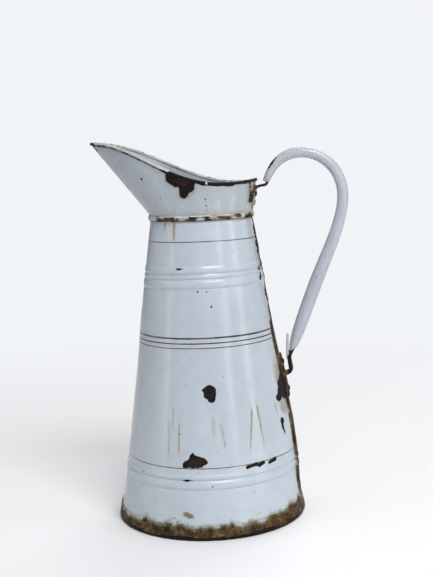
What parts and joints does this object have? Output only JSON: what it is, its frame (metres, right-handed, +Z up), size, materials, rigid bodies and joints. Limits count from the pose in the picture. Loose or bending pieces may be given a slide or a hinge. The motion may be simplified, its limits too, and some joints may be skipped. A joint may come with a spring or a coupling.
{
  "type": "enamelled water jug",
  "caption": "Tall tapered sheet-steel water jug with a flared pouring hood and a tubular loop handle held on two riveted strap brackets.",
  "frame": {"origin": "centre of the ring the jug stands on, on the floor", "axes": "+Z up; +X points from the jug's axis to the handle and -X to the spout; +Y is across the jug"},
  "size_m": [0.2562, 0.19, 0.3788],
  "materials": {
    "enamel_body": "glossy vitreous enamel, chipped and rust-stained",
    "enamel_foot": "worn enamel over rusted steel",
    "enamel_collar": "glossy vitreous enamel, chipped at the rim",
    "enamel_band": "cream enamel with rust blotches",
    "rim_edge": "dark chipped edge",
    "enamel_handle": "glossy vitreous enamel",
    "bracket_enamel": "grey enamel with rusted edges",
    "bracket_rust": "black chipped enamel and brown rust",
    "rivet_steel": "rusted domed heads"
  },
  "bodies": {
    "root": {"body_shell": "enamel_body", "base_pan": "enamel_foot", "spout_collar": "enamel_collar", "neck_band": "enamel_band", "rim_wire": "rim_edge", "handle_tube": "enamel_handle", "upper_bracket": "bracket_enamel", "lower_bracket": "bracket_rust", "upper_rivets": "rivet_steel", "lower_rivets": "rivet_steel"}
  },
  "joints": []
}
